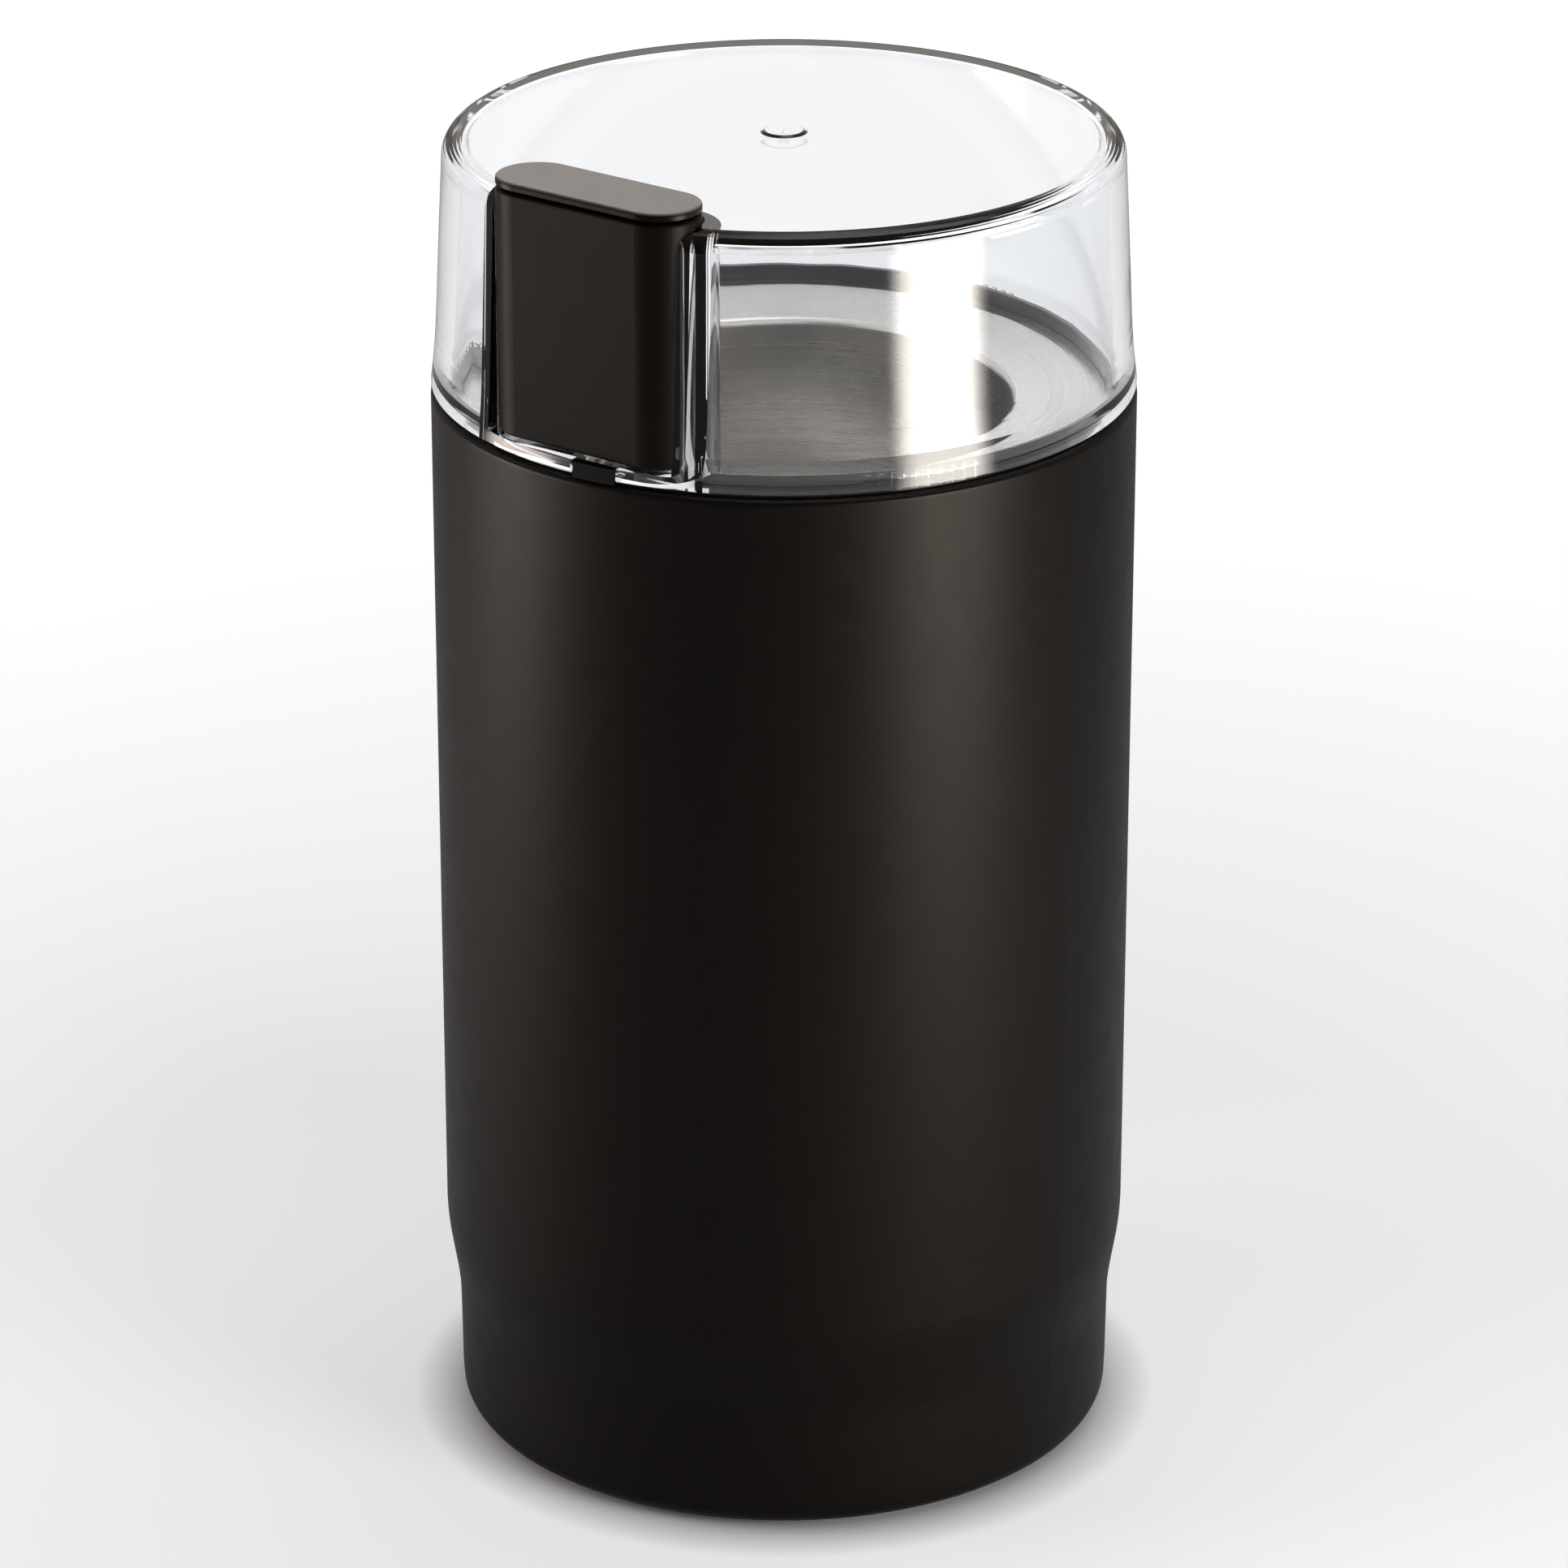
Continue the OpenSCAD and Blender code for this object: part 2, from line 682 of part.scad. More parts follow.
module motor_shaft() {
    top = bowl_floor_z + 12;
    color([0.66, 0.67, 0.69]) {
        translate([0, 0, shaft_z]) cylinder(r = shaft_r, h = washer_z - shaft_z);
        translate([0, 0, washer_z]) cylinder(r = thread_r, h = top - washer_z);
    }
}

module armature_core() {
    color([0.45, 0.46, 0.48]) translate([0, 0, stack_z]) linear_extrude(stack_h) difference() {
        circle(armature_r);
        circle(shaft_r);
        at_angles([for (k = [0:slot_count - 1]) 360 * k / slot_count], armature_r - slot_in) {
            circle(slot_r);
            translate([0, -slot_mouth / 2]) square([5, slot_mouth]);
        }
    }
}

module armature_winding() {
    color([0.62, 0.3, 0.14]) {
        for (z = [stack_z - end_turn_h, stack_z + stack_h]) difference() {
            translate([0, 0, z]) rotate_extrude() translate([0, end_turn_h / 2]) intersection() {
                translate([armature_r - turn_in, 0]) circle(r = turn_r);
                translate([shaft_r + 1.2, -end_turn_h / 2]) square([armature_r, end_turn_h]);
            }
            translate([0, 0, z - 1]) cylinder(r = shaft_r + 1.3, h = end_turn_h + 2);
        }
        at_angles([for (k = [0:slot_count - 1]) 360 * k / slot_count], armature_r - slot_in)
            translate([0, 0, stack_z]) cylinder(r = slot_r - 0.2, h = stack_h);
    }
}

module commutator() {
    color([0.72, 0.42, 0.22]) difference() {
        ring(commutator_r, shaft_r, commutator_z, commutator_h);
        at_angles([for (k = [0:slot_count - 1]) 360 * (k + 0.5) / slot_count], commutator_r - 0.8)
            translate([0, -slit_w / 2, commutator_z - 1]) cube([2, slit_w, commutator_h + 2]);
    }
    color([0.5, 0.3, 0.16])
        ring(commutator_r + insulator_w, shaft_r, commutator_z + commutator_h, insulator_h);
}

module cooling_fan() {
    color([0.12, 0.12, 0.13]) difference() {
        union() {
            translate([0, 0, fan_z]) cylinder(r = fan_hub_r, h = fan_h);
            translate([0, 0, fan_z + fan_h - fan_disc_t]) cylinder(r = fan_r, h = fan_disc_t);
            at_angles([for (k = [0.5:vane_count]) 360 * k / vane_count], fan_hub_r - 1)
                rotate(-vane_lean) translate([0, -vane_t / 2, fan_z + 0.5])
                    cube([fan_r - fan_hub_r - 1, vane_t, fan_h - 1]);
        }
        translate([0, 0, fan_z - 1]) cylinder(r = shaft_r, h = fan_h + 2);
    }
}

// ---- Blade ----

module blade_washer() {
    color([0.85, 0.85, 0.82]) ring(hub_hole_r + 3, thread_r, washer_z, washer_h);
}

module blade() {
    hub_r = blade_w * 0.75;
    z0 = blade_z;
    wing_l = blade_l / 2;
    bend_x = hub_r + 1;
    color([0.8, 0.81, 0.82]) difference() {
        union() {
            translate([0, 0, z0]) cylinder(r = hub_r, h = blade_t);
            for (s = [0, 180]) rotate(s) intersection() {
                translate([0, 0, z0]) wing_side(bend_x, wing_l, s == 0 ? blade_bend : 0.4 * blade_bend);
                translate([0, 0, z0 - 1]) linear_extrude(30) wing_plan(wing_l);
            }
        }
        translate([0, 0, z0 - 1]) cylinder(r = thread_r, h = blade_t + 2);
        for (s = [0, 180]) rotate(s) translate([hub_r, blade_w / 2 - 0.5, z0 + blade_t])
            rotate([32, -(s == 0 ? blade_bend : 0.4 * blade_bend) * 0.9, 0])
                translate([0, -4, 0.25]) cube([wing_l, 12, 6]);
    }
}

// Side view of a wing, flat to bend_x and then rising at angle
module wing_side(bend_x, wing_l, angle) {
    rise = (wing_l - bend_x) * tan(angle);
    rotate([90, 0, 0]) translate([0, 0, -blade_w]) linear_extrude(2 * blade_w) polygon([
        [0, 0], [bend_x, 0], [wing_l, rise], [wing_l, rise + blade_t],
        [bend_x, blade_t], [0, blade_t]
    ]);
}

// Plan of a wing, its leading edge straight and its tip cut on a curve
module wing_plan(wing_l) {
    intersection() {
        translate([0, -blade_w / 2]) square([wing_l + 1, blade_w]);
        circle(wing_l);
        translate([0, wing_l * 1.35]) circle(wing_l * 1.35 + blade_w / 2);
    }
}

module blade_nut() {
    z0 = blade_z + blade_t;
    color([0.7, 0.71, 0.72]) difference() {
        union() {
            translate([0, 0, z0]) cylinder(r = nut_flange_r, h = nut_flange_h);
            translate([0, 0, z0 + nut_flange_h]) cylinder(r = nut_r, h = nut_h, $fn = 6);
            translate([0, 0, z0 + nut_flange_h + nut_h]) intersection() {
                sphere(r = nut_dome_r);
                cylinder(r = 5, h = 5);
            }
        }
        translate([0, 0, z0 - 1]) cylinder(r = thread_r, h = 7.3);
    }
}

// ---- Lid ----

module lid_shell() {
    top_in_z = lid_top_z - lid_wall;
    corner_r = lid_out(lid_top_z - lid_round);
    color([0.85, 0.88, 0.9, 0.35]) difference() {
        union() {
            revolve(concat(
                [[lid_in_r, lid_z], [lid_base_r - 0.3, lid_z], [lid_base_r - 0.05, lid_z + 0.25]],
                [for (z = [lid_z + 0.8:0.9:lid_z + flare_h]) [lid_out(z), z]],
                arc([corner_r - lid_round, lid_top_z - lid_round], lid_round, 3, 90, 7),
                [[0, lid_top_z], [0, top_in_z]],
                arc([corner_r - lid_wall - 1, top_in_z - 1], 1, 90, 3, 3),
                [for (z = [ring_z + 6:-2:ring_z + 2]) [lid_out(z) - lid_wall, z]],
                [[lid_in_r, ring_z + 0.4]]
            ));
            intersection() {
                bar_prism(tube_r, floor_z, lid_top_z - 0.5);
                union() {
                    translate([0, 0, floor_z]) cylinder(r = collar_r - 0.9, h = lid_z - floor_z + 1);
                    revolve(concat(
                        [[0, lid_z], [lid_base_r - 0.4, lid_z]],
                        [for (z = [lid_z + 0.8:0.9:lid_z + flare_h]) [lid_out(z) - 0.05, z]],
                        [[corner_r - 0.05, lid_top_z - lid_round], [corner_r - lid_round, lid_top_z]],
                        [[0, lid_top_z]]
                    ));
                }
            }
            translate([0, 0, lid_top_z - eps]) cylinder(r1 = 3, r2 = 2.4, h = 0.25);
            friction_ribs();
        }
        bar_prism(recess_r, floor_z + floor_t, lid_top_z + 1);
        translate([0, bar_y - 10, 0]) slab(bar_l - 0.6, 20, ring_z, lid_top_z + 1);
        rotate(key_turn) translate([0, -body_r, 0])
            slab(key_w + 0.6, 2 * (body_r - collar_r + 1), lid_z - 1, ring_z + 1);
        translate([0, bar_y, floor_z - 1]) cylinder(r = stem_r + run, h = floor_t + 2);
        translate([0, 0, lid_top_z - 0.15]) cylinder(r = 0.8, h = 1);
    }
}

// Fine upright ribs on the skirt, in three groups between skirt and spigot
module friction_ribs() {
    step = rib_pitch / lid_base_r * 180 / PI;
    for (group = [-30, 90, 210], k = [0:rib_count - 1])
        rotate(group + (k - (rib_count - 1) / 2) * step)
            translate([lid_in_r - rib_h, -0.35, lid_z + 0.1]) cube([1, 0.7, spigot_h - 0.3]);
}

module press_bar() {
    top = cap_z - cap_groove;
    color([0.07, 0.065, 0.06]) difference() {
        bar_turned(concat(
            [[0, bar_z], [bar_half_t - 0.3, bar_z], [bar_half_t, bar_z + 0.3]],
            arc([bar_half_t - 0.6, top - 0.6], 0.6, 0, 90, 4),
            [[0, top]]
        ));
        bar_prism(bar_half_t - bar_wall, bar_z - 1, web_z);
        bar_prism(bar_half_t - bar_wall, web_z + web_t, top + 1);
        translate([0, bar_y, web_z - 1]) cylinder(r = stem_r, h = web_t + 2);
    }
}

module bar_cap() {
    color([0.66, 0.63, 0.62]) {
        bar_turned(concat(
            [[0, cap_z], [bar_half_t - 0.15, cap_z], [bar_half_t, cap_z + 0.15]],
            arc([bar_half_t - 0.35, bar_top_z - 0.35], 0.35, 0, 90, 3),
            [[0, bar_top_z]]
        ));
        bar_prism(bar_half_t - bar_wall - 0.05, cap_z - 3.5, cap_z + eps);
    }
}

module press_stem() {
    color([0.75, 0.75, 0.76]) translate([0, bar_y, 0]) difference() {
        union() {
            translate([0, 0, stem_z]) cylinder(r = stem_r, h = web_z + web_t - stem_z);
            translate([0, 0, web_z + web_t]) cylinder(r = stem_r + 0.9, h = 1.2);
        }
        ring(stem_r + 1, stem_r - 0.4, clip_z - 0.02, clip_t + 0.04);
    }
}

module stem_clip() {
    color([0.5, 0.5, 0.52]) translate([0, bar_y, 0]) difference() {
        ring(clip_r, stem_r - 0.4, clip_z, clip_t);
        rotate(-90) translate([0, -1.2, clip_z - 1]) cube([10, 2.4, clip_t + 2]);
    }
}

module bar_spring() {
    color([0.7, 0.7, 0.72]) translate([0, bar_y, 0])
        coil(bar_coil_r, bar_wire_r, floor_z + floor_t + spring_gap, web_z - spring_gap, 6);
}

// ---- Switch ----

module switch_body() {
    color([0.1, 0.1, 0.12]) difference() {
        translate([0, bar_y, 0]) union() {
            slab(switch_l, switch_t, switch_z, switch_z + switch_h);
            for (x = [-lug_x, 0, lug_x]) translate([x, 0, 0])
                slab(lug_w, lug_t, switch_z - lug_h, switch_z + eps);
        }
        translate([0, bar_y, 0])
            slab(button_w + 0.6, button_t + 0.6, switch_z + switch_h - 5, switch_z + switch_h + 1);
        for (s = [-1, 1]) translate([s * (switch_l / 2 - 2.5), bar_y, switch_z + switch_h / 2])
            rotate([0, 90, 0]) cylinder(r = pin_r, h = pin_hole_l, center = true);
    }
}

module switch_pins() {
    color([0.6, 0.6, 0.62]) for (s = [-1, 1])
        translate([s * (switch_l / 2 - 0.1 + leg_t / 2), bar_y, switch_z + switch_h / 2])
            rotate([0, 90, 0]) cylinder(r = pin_r, h = leg_t + pin_grip, center = true);
}

module switch_plunger() {
    color([0.85, 0.83, 0.78]) translate([0, bar_y, 0]) {
        translate([0, 0, rod_z]) cylinder(r = plunger_r, h = plunger_top_z - rod_z);
        translate([0, 0, flange_z]) cylinder(r = plunger_r + rod_flange_w, h = flange_t);
    }
}

module switch_button() {
    color([0.7, 0.1, 0.08]) translate([0, bar_y, 0])
        slab(button_w, button_t, switch_z + switch_h - 3, rod_z);
}

module plunger_spring() {
    color([0.7, 0.7, 0.72]) translate([0, bar_y, 0])
        coil(rod_coil_r, rod_wire_r, switch_z + switch_h + spring_gap, flange_z - spring_gap, 5);
}

module terminal_block() {
    color([0.88, 0.87, 0.82]) translate([0, block_y, 0]) difference() {
        slab(block_w, block_t, chassis_z - block_h, chassis_z);
        for (x = [-clamp_pitch, 0, clamp_pitch]) translate([x, 0, 0]) {
            translate([0, 0, chassis_z - block_h / 2]) rotate([90, 0, 0])
                cylinder(r = clamp_r, h = block_t + 2, center = true);
            slab(2 * (clamp_r - 0.3), block_t + 2, chassis_z - block_h - 1, chassis_z - block_h + 3);
        }
    }
}

// ---- Bottom ----

module cord_gland() {
    color([0.1, 0.1, 0.1]) translate([0, 0, inlet_z]) rotate([-90, 0, 0]) difference() {
        union() {
            translate([0, 0, gland_in_y]) cylinder(r = gland_r - 0.1, h = gland_l);
            translate([0, 0, gland_y - sleeve_wall - gland_rim_t - gland_rim_w])
                cylinder(r = gland_r + gland_rim_w, h = gland_rim_t);
        }
        translate([0, 0, gland_in_y - 1]) cylinder(r = inlet_r, h = gland_l + 2);
    }
}

module base_cover() {
    vent_steps = [for (x = [-4.5:4.5]) x * vent_pitch];
    color([0.08, 0.08, 0.08]) difference() {
        union() {
            translate([0, 0, cover_z]) cylinder(r = cover_r, h = cover_t);
            difference() {
                ring(cover_r, cover_r - cover_rim_t, cover_z + cover_t, cover_rim_h);
                at_angles(boss_angles, boss_ring_r) translate([0, 0, cover_z])
                    cylinder(r = boss_r + 0.8, h = 20);
                translate([0, sole_r, 0]) slab(2 * gland_r + 6, 20, inlet_z - gland_r - 2.4, 30);
            }
        }
        for (x = vent_steps) translate([x, 0, 0])
            slab(vent_w, 2 * sqrt(pow(vent_field_r, 2) - x * x), cover_z - 1, cover_z + cover_t + 1);
        at_angles(foot_angles, foot_ring_r)
            translate([0, 0, cover_z - 1]) cylinder(r = foot_r + 0.1, h = foot_h - cover_z + 1);
        at_angles(boss_angles, boss_ring_r) {
            translate([0, 0, cover_z - 1]) cylinder(r = cover_hole_r, h = cover_t + 2);
            translate([0, 0, cover_z - 1]) cylinder(r = cover_sink_r, h = cover_sink_h + 1);
        }
    }
}

module cover_screws() {
    color([0.6, 0.6, 0.62]) at_angles(boss_angles, boss_ring_r) {
        translate([0, 0, cover_z + cover_sink_h - cover_head_h])
            cylinder(r = cover_head_r, h = cover_head_h);
        translate([0, 0, cover_z + cover_sink_h]) cylinder(r = cover_screw_r, h = cover_screw_l);
    }
}

module rubber_feet() {
    color([0.07, 0.07, 0.07]) at_angles(foot_angles, foot_ring_r) cylinder(r = foot_r, h = foot_h);
}

// ---- Leads ----

module lead_wires() {
    past_coil_r = coil_r + 0.1 + lead_r;
    coil_z = stack_z + stack_h + 2.5;
    down_y = bar_y + 7;
    side_x = switch_l / 2 + 3.6;
    color([0.5, 0.12, 0.1]) for (s = [-1, 1]) {
        tube([
            [s * 2, gland_in_y - 2.5, inlet_z + 1], [s * 3, gland_in_y - 3.5, inlet_z + 7],
            [s * clamp_pitch, block_y, inlet_z + 22], [s * clamp_pitch, block_y, chassis_z - block_h - 0.1]
        ], lead_r, [1, 0, 0], 8);
        tube([
            [s * lug_x, bar_y, switch_z - lug_h - 0.1], [s * lug_x, bar_y, switch_z - lug_h - 2],
            [s * side_x, down_y, chassis_z + 2 * chassis_t], [s * side_x, down_y + 0.5, chassis_z - chassis_t],
            [s * 10, -past_coil_r - 1, coil_z + 2], [s * 8, -sqrt(pow(past_coil_r, 2) - pow(8, 2)), coil_z]
        ], lead_r, [1, 0, 0], 8);
    }
}

body_shell();
collar_ring();
bowl_gasket();
grinding_bowl();
shaft_seal();
chassis();
motor_dampers();
damper_screws();
top_bracket();
top_bushing();
stator_core();
field_coils();
bottom_bracket();
bottom_bushing();
brush_holders();
carbon_brushes();
brush_springs();
motor_screws();
switch_body();
switch_pins();
terminal_block();
lead_wires();
cord_gland();
base_cover();
cover_screws();
rubber_feet();
post_screws();
motor_shaft();
armature_core();
armature_winding();
commutator();
cooling_fan();
blade_washer();
blade();
blade_nut();
lid_shell();
press_bar();
bar_cap();
press_stem();
stem_clip();
bar_spring();
switch_plunger();
switch_button();
plunger_spring();
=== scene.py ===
import json
import math

import bpy
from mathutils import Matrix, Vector

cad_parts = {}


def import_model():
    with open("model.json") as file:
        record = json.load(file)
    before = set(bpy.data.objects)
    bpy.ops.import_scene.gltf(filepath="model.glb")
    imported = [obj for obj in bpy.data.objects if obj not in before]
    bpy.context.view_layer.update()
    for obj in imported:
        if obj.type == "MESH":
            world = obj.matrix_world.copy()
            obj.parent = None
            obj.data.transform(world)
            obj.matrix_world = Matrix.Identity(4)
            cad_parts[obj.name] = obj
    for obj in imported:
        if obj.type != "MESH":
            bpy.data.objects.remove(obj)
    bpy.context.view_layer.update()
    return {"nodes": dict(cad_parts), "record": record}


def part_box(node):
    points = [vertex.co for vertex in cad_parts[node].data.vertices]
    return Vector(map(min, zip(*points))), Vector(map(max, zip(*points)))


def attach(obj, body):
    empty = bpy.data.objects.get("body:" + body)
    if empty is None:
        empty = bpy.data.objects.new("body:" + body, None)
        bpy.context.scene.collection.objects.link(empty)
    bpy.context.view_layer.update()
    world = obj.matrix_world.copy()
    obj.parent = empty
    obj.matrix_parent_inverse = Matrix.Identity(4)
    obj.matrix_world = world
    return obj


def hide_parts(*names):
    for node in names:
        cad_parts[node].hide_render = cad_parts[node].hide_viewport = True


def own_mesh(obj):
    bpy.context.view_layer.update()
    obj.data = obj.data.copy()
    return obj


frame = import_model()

cap_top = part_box("bar_cap")[1][2]

MM = 0.001
MICRON = 0.000001
X, Y, Z = 0, 1, 2
WHITE = (1, 1, 1)

IMAGE_SIDE = 1932  # pixels of the photograph's side
FOCAL_PIXELS = 8464  # focal length that the photograph's perspective gives
SENSOR = 36.0  # millimetres across the camera's sensor
CAMERA_AZIMUTH = math.radians(36.5)
CAMERA_ELEVATION = math.radians(22.72)
CAMERA_PITCH = math.radians(22.59)
CAMERA_DISTANCE = 0.898
AIM = Vector((0, 0, 0.085))


def rgba(colour):
    return (*colour, 1)


def shade(colour, factor):
    return tuple(c * factor for c in colour)


# ---- Node graphs ----

class Nodes:
    """The node tree of a material, a lamp or the world, with short ways to add to it."""

    def __init__(self, owner):
        owner.use_nodes = True
        self.tree = owner.node_tree

    def fill(self, socket, value):
        """A socket takes another node's output or a constant."""
        if isinstance(value, bpy.types.NodeSocket):
            self.tree.links.new(value, socket)
        else:
            socket.default_value = value

    def node(self, kind, inputs=(), **settings):
        made = self.tree.nodes.new(kind)
        for name, value in settings.items():
            setattr(made, name, value)
        for key, value in dict(inputs).items():
            self.fill(made.inputs[key], value)
        return made

    def maths(self, operation, first, second=0.0):
        return self.node("ShaderNodeMath", {0: first, 1: second}, operation=operation).outputs[0]

    def spread(self, value, low, high, start=0.3, end=0.7, **settings):
        """value, from start to end, as a number from low to high. Noise mostly lies from 0.3 to 0.7."""
        inputs = {"Value": value, "From Min": start, "From Max": end, "To Min": low, "To Max": high}
        return self.node("ShaderNodeMapRange", inputs, **settings).outputs["Result"]

    def blend(self, factor, first, second):
        """The colour that runs from first to second with factor."""
        mixer = self.node("ShaderNodeMix", {0: factor}, data_type="RGBA")
        ends = [socket for socket in mixer.inputs if socket.type == "RGBA"]
        for socket, colour in zip(ends, (first, second)):
            self.fill(socket, colour)
        return next(socket for socket in mixer.outputs if socket.type == "RGBA")

    def rays(self):
        return self.node("ShaderNodeLightPath").outputs

    def eye_or_glass(self):
        """1 for rays from the eye and rays through glass, and 0 for others."""
        rays = self.rays()
        return self.maths("MAXIMUM", rays["Is Camera Ray"], rays["Is Transmission Ray"])


class Finish(Nodes):
    """One material: a Principled shader and the patterns that the finishes share."""

    def __init__(self, name, colour, roughness, metallic=0.0):
        self.material = bpy.data.materials.new(name)
        super().__init__(self.material)
        self.shader = self.tree.nodes["Principled BSDF"]
        self.place = self.node("ShaderNodeTexCoord").outputs["Object"]
        self.put("Base Color", rgba(colour))
        self.put("Roughness", roughness)
        self.put("Metallic", metallic)

    def put(self, name, value):
        """One of the shader's inputs takes another node's output or a constant."""
        self.fill(self.shader.inputs[name], value)

    def noise(self, size, detail, place=None, distortion=0.0):
        """Noise with features about size metres across, from 0 to 1."""
        inputs = {"Vector": place or self.place, "Scale": 1 / size,
                  "Detail": detail, "Distortion": distortion}
        return self.node("ShaderNodeTexNoise", inputs).outputs["Fac"]

    def tint(self, factor, first, second):
        """The base colour runs from first to second with factor."""
        self.put("Base Color", self.blend(factor, rgba(first), rgba(second)))

    def mottled(self, patches, colour, share):
        """The base colour goes up and down by share with a noise of patches."""
        self.tint(self.spread(patches, 0, 1), shade(colour, 1 - share), shade(colour, 1 + share))

    def bumped(self, height, depth):
        """The surface stands up by depth where height is 1."""
        bump = self.node("ShaderNodeBump", {"Height": height, "Distance": depth})
        self.put("Normal", bump.outputs["Normal"])

    def split(self):
        return self.node("ShaderNodeSeparateXYZ", {0: self.place}).outputs

    def radius(self):
        """How far a point is from the spindle's axis."""
        x, y, _ = self.split()
        squares = [self.maths("MULTIPLY", side, side) for side in (x, y)]
        return self.maths("SQRT", self.maths("ADD", *squares))

    def turned(self, pitch):
        """Fine rings round the spindle, as a lathe or a spinning tool leaves them."""
        rings = self.node("ShaderNodeCombineXYZ", {0: self.radius(), 1: self.split()[Z]}).outputs[0]
        return self.noise(pitch, 2, rings)

    def drawn(self, pitch, axis):
        """Fine lines along one axis, as rolling, drawing or grinding leaves them."""
        squeeze = 0.02  # the lines are fifty times as long as they are wide
        stretch = [1.0, 1.0, 1.0]
        stretch[axis] = squeeze
        lines = self.node("ShaderNodeVectorMath", {0: self.place, 1: stretch}, operation="MULTIPLY")
        return self.noise(pitch, 3, lines.outputs[0])

    def cast(self, pitch):
        """The fine unevenness of a cast, sintered or stamped surface."""
        return self.noise(pitch, 4)


# ---- Finishes ----

def moulded(name, colour, roughness, *, grain, depth, specular, mottle=0):
    """Moulded plastic or rubber: eroded-mould grain, slow changes of tone and a little uneven gloss."""
    uneven = 0.03
    g = Finish(name, colour, roughness)
    g.put("Specular IOR Level", specular)
    if mottle:
        g.mottled(g.noise(30 * MM, 4), colour, mottle)
    g.put("Roughness", g.spread(g.noise(4 * MM, 5), roughness - uneven, roughness + uneven))
    g.bumped(g.noise(grain, 2), depth)
    return g


def sleeve_finish():
    """Matt black soft-feel plastic, very slightly warm."""
    g = moulded("soft_matt_black", (0.0024, 0.002, 0.0017), 0.415,
                grain=0.2 * MM, depth=6 * MICRON, specular=0.165, mottle=0.1)
    g.put("Specular Tint", rgba((1.0, 0.9, 0.84)))
    return g


def deck_finish():
    """Glossy black plastic of the ring between sleeve and lid."""
    return moulded("gloss_black_deck", (0.004, 0.004, 0.0042), 0.12,
                   grain=0.6 * MM, depth=1 * MICRON, specular=0.3, mottle=0.1)


def bar_finish():
    """Satin black plastic with a shallower grain than the sleeve's."""
    g = moulded("satin_black_bar", (0.0045, 0.0034, 0.0026), 0.42,
                grain=0.4 * MM, depth=1.6 * MICRON, specular=0.092, mottle=0.1)
    g.put("Specular Tint", rgba((1.0, 0.93, 0.86)))
    return g


def cap_finish():
    """Satin black plastic with its top face painted grey as a reflection of the bright space above,
    lacquered on that top only; the satin black edge starts just under the cap's top.
    """
    black, grey = (0.003, 0.0026, 0.0024), (0.19, 0.177, 0.174)
    g = moulded("black_with_painted_top_sheen", black, 0.32,
                grain=1.2 * MM, depth=2 * MICRON, specular=0.12)
    # painted reflection: the top face is tinted grey where a glossy black top would mirror the bright space
    # above
    painted_top_sheen = g.spread(g.split()[Z], 0, 1, cap_top - 0.2 * MM, cap_top - 0.05 * MM)
    g.tint(painted_top_sheen, black, grey)
    g.put("Coat Weight", painted_top_sheen)
    g.put("Coat Roughness", 0.08)
    return g


def cover_finish():
    return moulded("matt_black_cover", (0.012, 0.0115, 0.011), 0.55,
                   grain=0.4 * MM, depth=20 * MICRON, specular=0.4, mottle=0.15)


def rubber_finish():
    return moulded("black_rubber", (0.018, 0.017, 0.016), 0.72,
                   grain=0.6 * MM, depth=30 * MICRON, specular=0.3, mottle=0.2)


def carbon_finish():
    return moulded("carbon_brush", (0.022, 0.022, 0.024), 0.5,
                   grain=0.3 * MM, depth=20 * MICRON, specular=0.6, mottle=0.25)


def chassis_finish():
    return moulded("grey_chassis", (0.022, 0.022, 0.024), 0.5,
                   grain=0.5 * MM, depth=20 * MICRON, specular=0.4, mottle=0.15)


def fan_finish():
    return moulded("nylon_fan", (0.016, 0.016, 0.018), 0.42,
                   grain=0.5 * MM, depth=10 * MICRON, specular=0.5, mottle=0.15)


def switch_finish():
    return moulded("phenolic_black", (0.014, 0.014, 0.018), 0.38,
                   grain=0.3 * MM, depth=10 * MICRON, specular=0.5, mottle=0.15)


def block_finish():
    return moulded("ceramic_white", (0.72, 0.7, 0.64), 0.4,
                   grain=0.6 * MM, depth=10 * MICRON, specular=0.5, mottle=0.05)


def nylon_finish():
    """Natural nylon, which lets a little light in."""
    g = moulded("natural_nylon", (0.7, 0.68, 0.6), 0.36,
                grain=0.4 * MM, depth=8 * MICRON, specular=0.5, mottle=0.05)
    g.put("Subsurface Weight", 0.15)
    g.put("Subsurface Scale", 2 * MM)
    return g


def button_finish():
    return moulded("red_button", (0.42, 0.02, 0.015), 0.36,
                   grain=0.4 * MM, depth=6 * MICRON, specular=0.5, mottle=0.1)


def lead_finish():
    return moulded("red_lead", (0.3, 0.025, 0.02), 0.4,
                   grain=0.5 * MM, depth=8 * MICRON, specular=0.5, mottle=0.15)


def metal(name, colour, roughness, lines, *, pitch, depth=0, axis=Z, mottle=0.06):
    """Bare metal with faint stains and with tool marks: lines is turned, drawn or cast."""
    ripple = 0.05  # how far the marks change the roughness
    clean, stained = roughness - 0.03, roughness + 0.04
    g = Finish(name, colour, roughness, metallic=1.0)
    if lines == "turned":
        marks = g.turned(pitch)
    elif lines == "drawn":
        marks = g.drawn(pitch, axis)
    else:
        marks = g.cast(pitch)
    stains = g.noise(12 * MM, 4)
    g.mottled(stains, colour, mottle)
    smeared = g.spread(stains, clean, stained)
    g.put("Roughness", g.maths("ADD", g.spread(marks, -ripple, ripple), smeared))
    if depth:
        g.bumped(marks, depth)
    return g


def bowl_finish():
    """Spun stainless steel, ringed by the spinning tool."""
    g = metal("spun_steel", (0.62, 0.6, 0.575), 0.24, "turned", pitch=0.35 * MM, depth=6 * MICRON)
    g.put("Anisotropic", 0.35)
    return g


